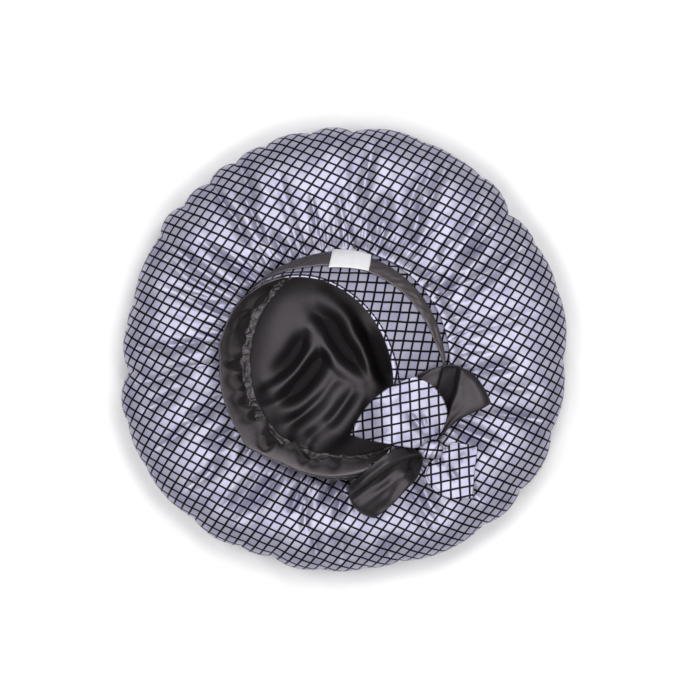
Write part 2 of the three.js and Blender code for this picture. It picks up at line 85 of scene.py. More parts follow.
def show(material, inputs):
    """Ends a material in one surface shader with these inputs."""
    shader = add_node(material, "ShaderNodeBsdfPrincipled", inputs)
    add_node(material, "ShaderNodeOutputMaterial", {"Surface": shader.outputs[0]})
    return material


def blend(material, share, first, second):
    """A colour between two, each of which is an sRGB code or another node's colour."""
    a, b = [linear(colour) if isinstance(colour, str) else colour for colour in (first, second)]
    return add_node(material, "ShaderNodeMix", {"Factor": share, "A": a, "B": b}, data_type="RGBA").outputs["Result"]


def placed(name, net):
    """A new piece in the scene, made of a net."""
    mesh = bpy.data.meshes.new(name)
    net.to_mesh(mesh)
    net.free()
    piece = bpy.data.objects.new(name, mesh)
    bpy.context.scene.collection.objects.link(piece)
    return piece


def soft_light(name, place, width, power):
    """A square lamp with a diffuser, which faces the bonnet."""
    data = bpy.data.lights.new(name, "AREA")
    data.shape, data.size, data.energy = "SQUARE", width, power
    lamp = bpy.data.objects.new(name, data)
    lamp.location = place
    lamp.rotation_euler = (-Vector(place)).to_track_quat("-Z", "Y").to_euler()
    bpy.context.scene.collection.objects.link(lamp)


# Matte painted board: even, with only a faint mottle.
board = new_material("matte_painted_board")
mottle = add_node(board, "ShaderNodeTexNoise", {"Scale": 3.0, "Detail": 3.0})
show(board, {"Base Color": blend(board, mottle.outputs["Fac"], "f7f7f7", "fafafa"), "Roughness": 0.9,
             "Specular IOR Level": 0.1})

floor_net = bmesh.new()
bmesh.ops.create_grid(floor_net, x_segments=1, y_segments=1, size=6.0)
bmesh.ops.translate(floor_net, verts=floor_net.verts, vec=(0, 0, -0.2 * mm))
floor = placed("floor", floor_net)
floor.data.materials.append(board)

lamp_width, lamp_height = 0.6, 1.5
soft_light("label_side_lamp", (0.2, 0.55, lamp_height), lamp_width, 9.1)
soft_light("far_side_lamp", (-0.1, -0.6, lamp_height), lamp_width, 6.6)
soft_light("left_lamp", (-0.6, 0.1, lamp_height), lamp_width, 6.8)
soft_light("right_lamp", (0.6, -0.1, lamp_height), lamp_width, 5.5)

surround = bpy.data.worlds.new("pale_surround")
surround.use_nodes = True
surround.node_tree.nodes["Background"].inputs["Color"].default_value = linear("ffffff")
surround.node_tree.nodes["Background"].inputs["Strength"].default_value = 0.28
bpy.context.scene.world = surround
bpy.context.scene.view_settings.view_transform = "Standard"

camera_data = bpy.data.cameras.new("camera")
camera_data.sensor_width = 36
camera_data.lens = 36 * (camera_height - outline_height) / picture_width
camera_data.clip_end = 50
camera = bpy.data.objects.new("camera", camera_data)
camera.location = (*picture_middle, camera_height)
bpy.context.scene.collection.objects.link(camera)
bpy.context.scene.camera = camera


# The crown: one round of thin checked satin, drawn up by running stitches into the seam round the mouth, so that it
# puffs between the gathers and its edge is scalloped. It lies on its middle, which is pressed flat.
Oval = namedtuple("Oval", "x y half_x half_y turned")
Gather = namedtuple("Gather", "seam_at edge_at notch puff depth reach")
seam = Oval(0, -11.3, 82.4, 87.1, 0)
seam_height = 49.0
seam_ledge = 3.0
crest_height = 55.0
crest_share = 0.3
edge_height = 27.0
base_share = 0.7
fullness = 0.8
satin_wall = 0.8

# Each gather: the angle where its fold leaves the seam and where it notches the outline, the outline's radius at the
# notch and at the puff after it, the fold's depth, and how far out it reaches as a share of the crown's width.
gathers = [
    Gather(12, 15.5, 175.1, 175.5, 2.0, 0.45), Gather(34, 28.5, 172.5, 173.2, 4.5, 0.9),
    Gather(45, 39, 167.9, 175.2, 2.5, 0.5), Gather(57, 51, 173.9, 175.3, 3.5, 0.7),
    Gather(64, 59, 175.2, 175.9, 2.0, 0.4), Gather(73, 69, 174.8, 176.6, 4.0, 0.5),
    Gather(87, 87.5, 170.9, 175.0, 3.0, 0.6), Gather(99, 98.5, 171.1, 174.4, 2.0, 0.4),
    Gather(113, 111, 170.9, 172.8, 3.2, 0.65), Gather(120, 120, 168.8, 172.2, 2.2, 0.5),
    Gather(127, 129, 167.2, 171.4, 3.0, 0.7), Gather(135, 138, 168.1, 173.6, 2.6, 0.6),
    Gather(149, 148, 169.1, 170.9, 4.5, 0.95), Gather(162, 168, 168.8, 171.2, 2.4, 0.5),
    Gather(171, 174, 170.7, 173.2, 3.0, 0.7), Gather(179, 186, 169.2, 178.7, 4.0, 0.9),
    Gather(199, 198.5, 178.6, 181.3, 2.5, 0.4), Gather(211, 211, 180.5, 181.9, 3.2, 0.6),
    Gather(222, 228.5, 177.5, 179.9, 3.0, 0.6), Gather(240, 242.5, 174.8, 175.8, 4.0, 0.7),
    Gather(253, 251, 171.8, 176.7, 3.0, 0.4), Gather(264, 264, 173.9, 175.4, 2.2, 0.45),
    Gather(273, 276, 173.2, 174.4, 3.0, 0.5), Gather(286, 285, 172.6, 178.7, 2.6, 0.5),
    Gather(307, 309, 177.1, 181.8, 4.0, 0.7), Gather(320, 321.5, 178.0, 182.1, 2.5, 0.5),
    Gather(336, 338.5, 176.1, 177.8, 4.5, 0.8), Gather(354, 357, 173.4, 177.0, 2.6, 0.55),
]
gather_here = np.array(gathers, float)
gather_after = np.roll(gather_here, -1, axis=0)
gather_after[-1, :2] += 360


def eased(value, start, end):
    """0 before start, 1 after end, and a smooth rise between."""
    t = np.clip((value - start) / (end - start), 0, 1)
    return t * t * (3 - 2 * t)


def mixed(a, b, share):
    return a + (b - a) * share


def on_oval(oval, angle, height):
    """The points at some angles and heights on an oval seen from above, which may be turned by some degrees."""
    t = math.radians(oval.turned)
    x, y = oval.half_x * np.cos(angle - t), oval.half_y * np.sin(angle - t)
    across, along = x * math.cos(t) - y * math.sin(t), x * math.sin(t) + y * math.cos(t)
    return np.stack([oval.x + across, oval.y + along, height + 0 * angle], axis=-1)


def bag_across(section):
    """How far out from the seam to the edge a place on the crown's top is, as a share."""
    over = np.sin((np.clip(section, 1, 2) - 1) * math.pi / 2) ** fullness
    return np.where(section <= 1, np.clip(section, 0, 1) * crest_share, mixed(crest_share, 1, over))


def bag_point(seam_angle, edge_angle, radius, section):
    """The bag's section: 0 at the seam, 1 at the crest, 2 at the edge, 3 where the base starts, 4 in the middle."""
    start = on_oval(seam, seam_angle, seam_height)
    edge = np.stack([radius * np.cos(edge_angle), radius * np.sin(edge_angle), edge_height + 0 * radius], axis=-1)
    across = bag_across(section)
    ledge = seam_ledge / np.linalg.norm(edge - start, axis=-1)
    climb = np.clip((across - ledge) / (crest_share - ledge), 0, 1)
    over = (np.clip(section, 1, 2) - 1) * math.pi / 2
    under = (np.clip(section, 2, 3) - 2) * math.pi / 2
    top_height = np.where(section <= 1, mixed(seam_height, crest_height, np.sin(climb * math.pi / 2)),
                          mixed(edge_height, crest_height, np.cos(over).clip(0) ** fullness))
    top = mixed(start, edge, across[:, None])
    share = np.where(section <= 3, mixed(base_share, 1, np.cos(under).clip(0) ** fullness),
                     base_share * (4 - section))
    bottom = edge * share[:, None]
    bottom_height = np.where(section <= 3, edge_height * (1 - np.sin(under) ** fullness), 0)
    upper = section <= 2
    point = np.where(upper[:, None], top, bottom)
    point[:, 2] = np.where(upper, top_height, bottom_height)
    return point


def gathered_at(turn):
    """Where a place round the crown lies between two gathers, the gathers' values there, and its swell."""
    place = turn * len(gathers)
    index = np.floor(place).astype(int) % len(gathers)
    along = place - np.floor(place)
    here, after = gather_here[index], gather_after[index]
    values = mixed(here, after, along[:, None])
    swell = np.sin(math.pi * along).clip(0) ** 0.7
    values[:, 2] += (here[:, 3] - (here[:, 2] + after[:, 2]) / 2) * swell
    return index, along, values, swell


# The folds that run out over the crown. Each is straight as seen from above: the angle and the share of the crown's
# width where it starts near the seam and where it runs out, its half width and its depth in millimetres.
Fold = namedtuple("Fold", "seam_at start edge_at end half_width depth")
folds = [Fold(*row) for row in [
    (11, 0.3, 12.5, 0.85, 6, 2.0), (20, 0.03, 19, 0.3, 3, 2.0), (26, 0.25, 31, 1.0, 6, 4.5),
    (32, 0.05, 36, 0.4, 3, 4.5), (36, 0.3, 39.5, 0.75, 3.5, 5.0), (41, 0.02, 40, 0.25, 2.5, 2.5),
    (43, 0.3, 48, 0.98, 4, 2.4), (58, 0.22, 63, 0.62, 3.5, 5.0), (59.5, 0.5, 61, 1.0, 3.5, 2.6),
    (66, 0.4, 65.5, 0.85, 4, 2.6), (74.5, 0.12, 74, 0.55, 5.5, 6.0), (84, 0.28, 81, 0.98, 4, 4.5),
    (88.5, 0.05, 92, 0.55, 4, 2.4), (110, 0.25, 110, 0.75, 8, 2.4), (118, 0.08, 120, 0.32, 3.5, 3.5),
    (122, 0.55, 118, 1.0, 6, 4.2), (129.5, 0.3, 128.5, 0.98, 4, 4.0), (131, 0.12, 130, 0.3, 3.5, 3.5),
    (137, 0.06, 142, 0.66, 4, 5.0), (149.5, 0.15, 149, 0.98, 3, 3.6), (154.5, 0.12, 153, 0.95, 3, 3.6),
    (160, 0.12, 160.5, 0.78, 3.5, 3.2), (171, 0.1, 170, 0.5, 3, 1.8), (173, 0.3, 177.5, 0.62, 4.5, 4.2),
    (179, 0.5, 179, 1.0, 5, 3.4), (184, 0.4, 190, 0.97, 4.5, 3.0), (192, 0.5, 198, 0.97, 4, 2.4),
    (200, 0.28, 201, 0.55, 3.5, 4.8), (203.5, 0.5, 208.5, 0.98, 4, 3.0), (212, 0.22, 212, 0.52, 4, 4.2),
    (220.5, 0.4, 221.5, 0.98, 3.5, 3.4), (231, 0.3, 232, 0.9, 4, 2.2), (239.5, 0.15, 237.5, 0.8, 3.5, 5.4),
    (250, 0.2, 250.5, 0.5, 3.5, 4.6), (256, 0.3, 257, 0.65, 3, 2.2), (262, 0.12, 262.5, 0.4, 3, 2.4),
    (269, 0.18, 267.5, 0.48, 4.5, 4.4), (269, 0.6, 270, 0.97, 9, 3.0), (283, 0.72, 283, 0.98, 6, 3.6),
    (295, 0.45, 295, 1.0, 3, 2.4), (303, 0.22, 300, 0.8, 5.5, 5.4), (313, 0.55, 313, 0.86, 4, 2.2),
    (330, 0.14, 330, 0.68, 8, 6.0), (339, 0.42, 341, 1.0, 3.2, 5.4), (349, 0.4, 349.5, 0.9, 4.5, 2.6),
    (355.5, 0.25, 356.5, 0.66, 4.5, 3.6), (4, 0.1, 3, 0.45, 3, 2.0),
    (7.5, 0.12, 3.5, 0.34, 2.2, 2.4), (13, 0.2, 11, 0.48, 3, 2.6), (44, 0.26, 46.5, 0.46, 3, 3.4),
    (57.5, 0.34, 67, 0.51, 3, 4.0), (70.5, 0.22, 75.5, 0.37, 4.5, 4.5), (82.5, 0.02, 92.5, 0.4, 2.1, 3.0),
    (103.5, 0.05, 100.5, 0.55, 2, 2.8), (109.5, 0.06, 110, 0.3, 2.2, 3.0), (120, 0.12, 120.5, 0.34, 2.2, 3.0),
    (123.5, 0.22, 122.5, 0.78, 2, 3.4), (152.5, 0.13, 160, 0.66, 2.1, 3.0), (196, 0.18, 205.5, 0.63, 2.1, 3.0),
    (218, 0.46, 222, 0.72, 4, 4.0), (221, 0.14, 223.5, 0.36, 3, 3.5), (238, 0.22, 237.5, 0.6, 3.5, 4.6),
    (248.5, 0.12, 259.5, 0.7, 2, 3.0), (260, 0.6, 263, 0.9, 3, 2.4), (266, 0.02, 261, 0.38, 3.4, 4.6),
    (275, 0.02, 273, 0.28, 2.2, 2.6), (285.5, 0.04, 283.5, 0.36, 2.2, 2.6), (296.5, 0.3, 296, 0.86, 2, 2.8),
]]
mean_radius = 174.0


def plan_of(angle, share):
    """The place seen from above at an angle and at a share of the way from the seam to the outline."""
    start = on_oval(seam, np.radians(angle), 0)[:2]
    end = mean_radius * np.array([math.cos(math.radians(angle)), math.sin(math.radians(angle))])
    return mixed(start, end, share)


def wandering(x, y, z):
    """Smooth values from -1 to 1 that wander from place to place."""
    return np.array([noise.noise(place) for place in np.broadcast(x, y, z)])


fold_strength = 1.65
fold_stray = 2.0  # how far a fold wanders aside
steep_side, easy_side = 0.75, 1.25  # a fold leans, so one of its sides is steeper


def fold_depth(x, y):
    """How deep the crown's folds are at some places."""
    stray = fold_stray * wandering(x / 16, y / 16, 2.0)
    total = np.zeros(x.shape)
    for fold in folds:
        start, end = plan_of(fold.seam_at, fold.start), plan_of(fold.edge_at, fold.end)
        run = np.linalg.norm(end - start)
        ahead = (end - start) / run
        along = ((x - start[0]) * ahead[0] + (y - start[1]) * ahead[1]) / run
        aside = (y - start[1]) * ahead[0] - (x - start[0]) * ahead[1] + stray
        width = fold.half_width * np.where(aside < 0, steep_side, easy_side)
        ends = eased(along, -0.1, 0.3) * (1 - eased(along, 0.55, 1.12))
        total = np.maximum(total, fold_strength * fold.depth * ends * np.exp(-np.abs(aside / width) ** 1.3))
    return total


# The small puckers between two gathers, which the running stitches leave along the seam.
pucker_spacing = 4.4
pucker_random = np.random.default_rng(7)
most_puckers = 12
puckers_between = np.maximum(2, np.round(np.radians(gather_after[:, 0] - gather_here[:, 0]) * 85 / pucker_spacing))
pucker_depth = pucker_random.uniform(1.0, 3.0, (len(gathers), most_puckers))
pucker_reach = pucker_random.uniform(0.16, 0.42, (len(gathers), most_puckers))


def ripple(angle, radius, count, length, seed):
    """A smooth wandering value from -1 to 1, drawn out along the radius as folds are."""
    return wandering(count * np.cos(angle), count * np.sin(angle), radius / length + seed)


crown_across, crown_down = 28 * 25, 66
crown_rows = np.array([0, 18, 50, 62, 66]) / crown_down


def crown_shape(u, v):
    """The crown's outer face: u goes round, and v goes from the seam over the edge to the middle of the base."""
    section = np.interp(v, crown_rows, [0, 1, 2, 3, 4])
    index, along, values, swell = gathered_at(u)
    seam_angle, edge_angle = np.radians(values[:, 0]), np.radians(values[:, 1])
    point = bag_point(seam_angle, edge_angle, values[:, 2], section)
    across = bag_across(np.minimum(section, 2))
    reach = values[:, 5]
    fold = eased(across, 0.04, 0.14) * (1 - eased(across, 0.3 * reach, reach))
    rise = values[:, 4] * swell * fold
    count = puckers_between[index]
    which = np.minimum(np.floor(along * count), most_puckers - 1).astype(int)
    bump = np.abs(np.sin(math.pi * along * count)) ** 0.6
    small_reach = pucker_reach[index, which]
    small = eased(across, 0.03, 0.07) * (1 - eased(across, 0.25 * small_reach, small_reach))
    carve = pucker_depth[index, which] * (1 - bump) * small
    angle, radius = np.arctan2(point[:, 1], point[:, 0]), np.hypot(point[:, 0], point[:, 1])
    top_side = eased(across, 0.05, 0.2) * (1 - eased(section, 1.5, 2))
    sag = 1.5 * (ripple(angle, radius, 9, 45, 0) - 0.6) + 0.7 * (ripple(angle, radius, 20, 30, 5) - 0.5)
    deep = fold_depth(point[:, 0], point[:, 1]) * (1 - eased(section, 1.75, 2))
    point[:, 2] += np.where(section < 2, rise - carve + sag * top_side - deep, 0)
    return point


def crown_weave(u, v, _point):
    """The weave's own coordinates: they run straight over the top as seen from above, and on round the edge."""
    # The base has straight coordinates of its own, see cloth.
    _, along, values, _ = gathered_at(u)
    section = np.interp(v, crown_rows, [0, 1, 2, 3, 4])
    point = bag_point(np.radians(values[:, 0]), np.radians(values[:, 1]), values[:, 2], section)
    radius = np.hypot(point[:, 0], point[:, 1]).clip(1e-6)
    drop = ((crest_height - point[:, 2]).clip(0) / (crest_height - edge_height)).clip(0, 1) * (section > 1)
    beyond = np.where(section > 2, values[:, 2] - radius + 0.6 * (edge_height - point[:, 2]), 0) * 1.1
    across = bag_across(np.minimum(section, 2))
    hidden = 0.4 * values[:, 4] * (1 - eased(across, 0.3 * values[:, 5], values[:, 5])) * (section < 2)
    shift = hidden * (0.5 - along) * eased(np.minimum(along, 1 - along), 0, 0.06)
    unit = point[:, :2] / radius[:, None]
    square = np.stack([-unit[:, 1], unit[:, 0]], axis=-1)
    reached = np.where(section > 2, values[:, 2], radius)
    return unit * (reached + 13 * drop + beyond)[:, None] + square * shift[:, None]


def cloth(name, across, down, shape, weave=None, wall=satin_wall, flip=False, straight_from=2.0):
    """A piece of cloth: a flat net of across by down cells that shape lays out in millimetres, with a thin wall.
    Past straight_from, as a share of the way down, the weave runs straight as seen from above."""
    net = bmesh.new()
    bmesh.ops.create_grid(net, x_segments=across, y_segments=down, size=0.5)
    flat = np.array([vert.co[:2] for vert in net.verts]) + 0.5
    points = shape(flat[:, 0], flat[:, 1])
    straight = points[:, :2] * mm
    woven = straight if weave is None else weave(flat[:, 0], flat[:, 1], points) * mm
    layer = net.loops.layers.uv.new("Cloth")
    net.verts.index_update()
    for vert, point in zip(net.verts, points * mm):
        vert.co = point
    for face in net.faces:
        face.smooth = True
        middle = sum(flat[vert.index, 1] for vert in face.verts) / 4
        for corner in face.loops:
            corner[layer].uv = (straight if middle > straight_from else woven)[corner.vert.index]
    bmesh.ops.remove_doubles(net, verts=net.verts, dist=0.001 * mm)
    if flip:
        bmesh.ops.reverse_faces(net, faces=net.faces)
    piece = placed(name, net)
    thick = piece.modifiers.new("wall", "SOLIDIFY")
    thick.thickness, thick.offset = wall * mm, -1
    return piece


def fit(piece, node, material):
    """Puts a piece in the place of its CAD node, on the bonnet's one body."""
    piece.data.materials.append(material)
    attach(piece, "root")
    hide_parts(node)
    return piece


check_pitch = 7.44  # from line to line, in millimetres
check_line = 1.65


def thread_relief(material, place, scale, turned, strength):
    """The relief of satin's long threads. Real ones are about 0.1 mm apart; these are 0.4 mm, so that they show."""
    threads = add_node(material, "ShaderNodeMapping", {"Vector": place, "Scale": scale, "Rotation": (0, 0, turned)})
    weave = add_node(material, "ShaderNodeTexNoise", {"Vector": threads.outputs[0], "Scale": 1.0, "Detail": 2.0})
    return add_node(material, "ShaderNodeBump", {"Height": weave.outputs["Fac"], "Strength": strength,
                                                 "Distance": 0.3 * mm}).outputs[0]


def checked_satin(name, first, second):
    """Printed polyester satin: lilac cells that vary a little and a thin inky check, under a soft sheen.
    Each family of lines has the angle that it is square to, in degrees, and its place along that angle."""
    material = new_material(name)
    place = add_node(material, "ShaderNodeUVMap", uv_map="Cloth")
    stray = add_node(material, "ShaderNodeTexNoise", {"Vector": place.outputs["UV"], "Scale": 90.0, "Detail": 1.0})
    wander = add_node(material, "ShaderNodeVectorMath",
                      {0: stray.outputs["Color"], 1: (0.9 * mm, 0.9 * mm, 0), 2: place.outputs["UV"]},
                      operation="MULTIPLY_ADD")
    lines, cells = [], []
    for angle, phase in (first, second):
        turned = math.radians(angle)
        square = (math.cos(turned) / (check_pitch * mm), math.sin(turned) / (check_pitch * mm), 0)
        along = add_node(material, "ShaderNodeVectorMath", {0: wander.outputs[0], 1: square}, operation="DOT_PRODUCT")
        drift = 0.45 * (square[0] + square[1]) * mm
        count = add_node(material, "ShaderNodeMath", {0: along.outputs["Value"], 1: phase + drift},
                         operation="SUBTRACT")
        cells.append(add_node(material, "ShaderNodeMath", {0: count.outputs[0]}, operation="FLOOR"))
        part = add_node(material, "ShaderNodeMath", {0: count.outputs[0], 1: 0.5}, operation="PINGPONG")
        half = check_line / check_pitch / 2
        lines.append(add_node(material, "ShaderNodeMapRange",
                              {"Value": part.outputs[0], "From Min": half - 0.035, "From Max": half + 0.035,
                               "To Min": 1.0, "To Max": 0.0}, interpolation_type="SMOOTHSTEP"))
    line = add_node(material, "ShaderNodeMath", {0: lines[0].outputs[0], 1: lines[1].outputs[0]}, operation="MAXIMUM")
    cell = add_node(material, "ShaderNodeCombineXYZ", {"X": cells[0].outputs[0], "Y": cells[1].outputs[0]})
    chance = add_node(material, "ShaderNodeTexWhiteNoise", {"Vector": cell.outputs[0]}, noise_dimensions="3D")
    tint = blend(material, chance.outputs["Value"], "a9a7bb", "b4b2c5")
    cloud = add_node(material, "ShaderNodeTexNoise", {"Vector": place.outputs["UV"], "Scale": 55.0, "Detail": 3.0})
    cloud_share = add_node(material, "ShaderNodeMapRange", {"Value": cloud.outputs["Fac"], "From Min": 0.42,
                                                            "From Max": 0.72, "To Max": 0.7})
    clouded = blend(material, cloud_share.outputs[0], tint, "918fae")
    return show(material, {"Base Color": blend(material, line.outputs[0], clouded, "08060e"), "Roughness": 0.5,
                           "Metallic": 0.6, "Specular IOR Level": 0.25, "Sheen Weight": 0.05, "Sheen Roughness": 0.4,
                           "Normal": thread_relief(material, place.outputs["UV"], (2500, 320, 1), 0, 0.12)})


crown_satin = checked_satin("crown_checked_satin", (65.0, 0.393), (145.25, 0.641))
crown = fit(cloth("crown_cloth", crown_across, crown_down, crown_shape, crown_weave, flip=True,
                  straight_from=crown_rows[3]), "crown", crown_satin)


# The lining: a plain bag of black satin inside the crown, sewn in at the same seam. It is loose, so its floor lies in
# broad soft folds.
lining_wall = 0.7
lining_middle = np.array([-10.0, -24.0])
foot_angles = [0, 90, 135, 180, 225, 262, 290, 325]
foot_widths = [3.0, 6.5, 9.0, 10.0, 10.5, 16.0, 14.0, 6.0]  # how far in from the seam the band's foot is sewn to it
floor_rise = 10.5

# The floor's soft ridges and the hollows between them, as the points that each passes, seen from above.
Crease = namedtuple("Crease", "size half_width points")
ridges = [
    Crease(5.5, 8, [(-24, 17), (-26, -1), (-34, -15), (-48, -26), (-60, -36), (-72, -43)]),
    Crease(5.5, 8, [(-24, 17), (-14, 9), (-6, -7), (5, -17), (13, -26), (15, -38)]),
    Crease(4.5, 8, [(-10, -4), (-16, -24), (-28, -38), (-44, -48), (-60, -54)]),
    Crease(3.8, 8, [(2, -18), (0, -30), (-10, -40), (-24, -54), (-34, -66), (-36, -78)]),
    Crease(3.4, 8, [(13, -27), (13, -40), (5, -52), (-6, -68), (-20, -80)]),
    Crease(6, 8, [(-16, 40), (-2, 27), (9, 9), (19, -9), (25, -24), (23, -38)]),
]
flat_bulges = [
    Crease(3, 24, [(-46, 34), (-47, 26), (-50, 10)]),
    Crease(4.5, 18, [(8, -48), (-8, -62), (-22, -76)]),
]
hollows = [
    Crease(10.5, 7.5, [(-36, 40), (-14, 23), (-2, 5), (9, -12), (18, -30)]),
    Crease(10, 9, [(10, 28), (25, 3), (32, -16), (32, -34)]),
    Crease(10, 7, [(-27, 18), (-33, 6), (-40, -6), (-50, -20), (-62, -30)]),
    Crease(10.5, 7, [(-12, 6), (-18, -8), (-28, -22), (-40, -34), (-56, -43)]),
    Crease(2.6, 7, [(7, -27), (3, -40), (-8, -56), (-14, -64)]),
    Crease(2.6, 6.5, [(-8, -30), (-20, -44), (-36, -55), (-52, -62)]),
    Crease(2, 6, [(-18, -62), (-28, -74), (-30, -84)]),
]


def through(rows, share):
    """A smooth curve through the rows of a table, at shares of its run."""
    rows = np.array(rows, float)
    count = len(rows) - 1
    place = np.clip(share, 0, 1) * count
    i = np.minimum(place.astype(int), count - 1)
    t = (place - i)[:, None]
    around = np.vstack([2 * rows[0] - rows[1], rows, 2 * rows[-1] - rows[-2]])
    a, b, c, d = around[i], around[i + 1], around[i + 2], around[i + 3]
    return 0.5 * (2 * b + (c - a) * t + (2 * a - 5 * b + 4 * c - d) * t**2 + (3 * b - a - 3 * c + d) * t**3)


def out_of_seam(angle):
    """The level direction that points squarely out of the seam."""
    direction = np.stack([np.cos(angle) / seam.half_x, np.sin(angle) / seam.half_y, 0 * angle], axis=-1)
    return direction / np.linalg.norm(direction, axis=-1, keepdims=True)


def moved_out(surface, distance):
    """A surface moved along its own normals."""
    step = 0.002

    def moved(u, v):
        along_u = surface(u + step, v) - surface(u - step, v)
        along_v = surface(u, v + step) - surface(u, v - step)
        normal = np.cross(along_v, along_u)
        return surface(u, v) + distance * normal / np.linalg.norm(normal, axis=-1, keepdims=True).clip(1e-9)

    return moved


def lifted(surface, u, v, height):
    """Places on a surface, each moved out by its own height."""
    base = surface(u, v)
    return base + (moved_out(surface, 1.0)(u, v) - base) * height[:, None]


def lying_creases(creases, x, y, roundness=2.0, at_ends=0.3):
    """How much some creases rise at some places: each is a smooth line that tapers to a share of itself at its ends.
    A low roundness gives a pointed crease and a high one a broad crease."""
    total = np.zeros(x.shape)
    share = np.linspace(0, 1, 41)
    for crease in creases:
        line = through(crease.points, share)
        run = np.diff(line, axis=0)
        from_x, from_y = x[:, None] - line[:-1, 0], y[:, None] - line[:-1, 1]
        passed = ((from_x * run[:, 0] + from_y * run[:, 1]) / (run**2).sum(axis=1)).clip(0, 1)
        away = np.hypot(from_x - passed * run[:, 0], from_y - passed * run[:, 1])
        which = away.argmin(axis=1)
        here = np.arange(len(x))
        nearest = (which + passed[here, which]) / len(run)
        tall = crease.size * mixed(at_ends, 1, eased(nearest, 0, 0.4) * (1 - eased(nearest, 0.6, 1)))
        total += (tall * np.exp(-((away[here, which] / crease.half_width) ** roundness))) ** 2.5
    return total ** 0.4


def even_bag(angle, section):
    """The crown's section with its puffs left out."""
    notch = np.interp(np.degrees(angle), gather_here[:, 1], gather_here[:, 2], period=360)
    return bag_point(angle, angle, notch - 1, section)


def lining_shape(u, v):
    angle = 2 * math.pi * u
    section = np.interp(v, [0, 0.04, 0.08, 0.2, 0.36, 1], [-1, 0, 1, 2, 3, 4])
    sewn = 1.9
    lip = on_oval(seam, angle, seam_height - sewn)
    lip -= out_of_seam(angle) * np.interp(np.degrees(angle), foot_angles, foot_widths, period=360)[:, None]
    root = on_oval(seam, angle, seam_height - sewn)
    lip_part = mixed(lip, root, (section + 1).clip(0, 1)[:, None])
    deeper = 1.2 + 10.0 * eased(section, 0.1, 0.5) * (1 - eased(section, 1.7, 2))
    wall_part = lifted(even_bag, angle, section.clip(0.3, 3), -(sewn + deeper))
    share = (4 - section).clip(0, 1)
    rim = even_bag(angle, np.full(angle.shape, 3.0))
    x = mixed(lining_middle[0], rim[:, 0], share)
    y = mixed(lining_middle[1], rim[:, 1], share)
    stray_x, stray_y = x + 2 * wandering(x / 25, y / 25, 3.7), y + 2 * wandering(x / 25, y / 25, 9.2)
    rise = floor_rise + lying_creases(ridges, stray_x, stray_y, 2.4)
    rise += lying_creases(flat_bulges, x, y, 2.0, 1.0) - lying_creases(hollows, stray_x, stray_y, 1.6, 0.0)
    rise = (rise + np.hypot(rise, 2.5)) / 2 * (1 - eased(share, 0.75, 1))
    floor_part = np.stack([x, y, sewn + rise], axis=-1)
    point = np.where((section < 0.3)[:, None], mixed(lip_part, wall_part, eased(section, 0, 0.3)[:, None]), wall_part)
    return np.where((section > 3)[:, None], floor_part, point)


def black_satin(name, shine, roughness, dyes_and_painted_light=("080809", "0f0d0e"), dull_heights=(-1.0, -0.5)):
    """Plain polyester satin, piece-dyed black: long floats of thread give it broad soft highlights. Its base colour is
    mottled between two given colours. For the lining and the loops these are the dye; for the facing and the ribbon
    they are a lighter black, the dye lightened as painted light. Where it was never pressed, which is below the second
    of the dull heights in metres, its threads lie loose and it is duller."""
    material = new_material(name)
    place = add_node(material, "ShaderNodeTexCoord")
    cloud = add_node(material, "ShaderNodeTexNoise", {"Vector": place.outputs["Object"], "Scale": 40.0, "Detail": 4.0})
    # The base colour: the dye's mottle, made lighter as painted light where a lighter pair of colours is given.
    dye_and_painted_light = blend(material, cloud.outputs["Fac"], *dyes_and_painted_light)
    uneven = add_node(material, "ShaderNodeMapRange", {"Value": cloud.outputs["Fac"], "To Min": roughness - 0.06,
                                                       "To Max": roughness + 0.06})
    height = add_node(material, "ShaderNodeSeparateXYZ", {"Vector": place.outputs["Object"]})
    loose = add_node(material, "ShaderNodeMapRange", {
        "Value": height.outputs["Z"], "From Min": dull_heights[0], "From Max": dull_heights[1], "To Min": 0.95,
        "To Max": 0.0}, interpolation_type="SMOOTHSTEP")
    worn = add_node(material, "ShaderNodeMath", {0: uneven.outputs[0], 1: loose.outputs[0]}, operation="MAXIMUM")
    return show(material, {"Base Color": dye_and_painted_light, "Roughness": worn.outputs[0], "Specular IOR Level": shine,
                           "Specular Tint": linear("fff3fc"), "Sheen Weight": 0.06, "Sheen Roughness": 0.35,
                           "Sheen Tint": linear("cfc6c8"),
                           "Normal": thread_relief(material, place.outputs["Object"], (2400, 300, 900), 0.6, 0.15)})


lining_satin = black_satin("lining_black_satin", 0.54, 0.5, dull_heights=(6 * mm, 12 * mm))
lining = fit(cloth("crown_lining_cloth", 480, 150, lining_shape, wall=lining_wall), "crown_lining",
             lining_satin)


# The band's outer side: a strip of the same checked satin that stands on the seam and leans over to the left, so that
# its outer side shows widest on the right. Its limp rim sags inward at the lower left, and its free edge is hemmed
# with a line of dark stitches.
rim = Oval(-30.6, -22, 69.2, 79, 15)
rise_mean, rise_towards_x, rise_towards_y = 30.5, -5.0, -6.0
band_belly = 2.5
held_share, held_at, held_half_width = 0.5, 306, 24  # near the bow the band leans less, because the tie holds it
pull_angles = [140, 156, 163, 170, 177, 205, 219, 227, 234, 243, 252, 260, 270, 281, 290]
rim_pulls = [0, 2.0, 1.5, 4.0, 4.5, 5.0, 4.5, 2.5, 5.0, 7.0, 8.0, 6.5, 4.0, 1.0, 0]  # how far the rim sags inward
root_gap = 0.4
cad_wall = 1.5


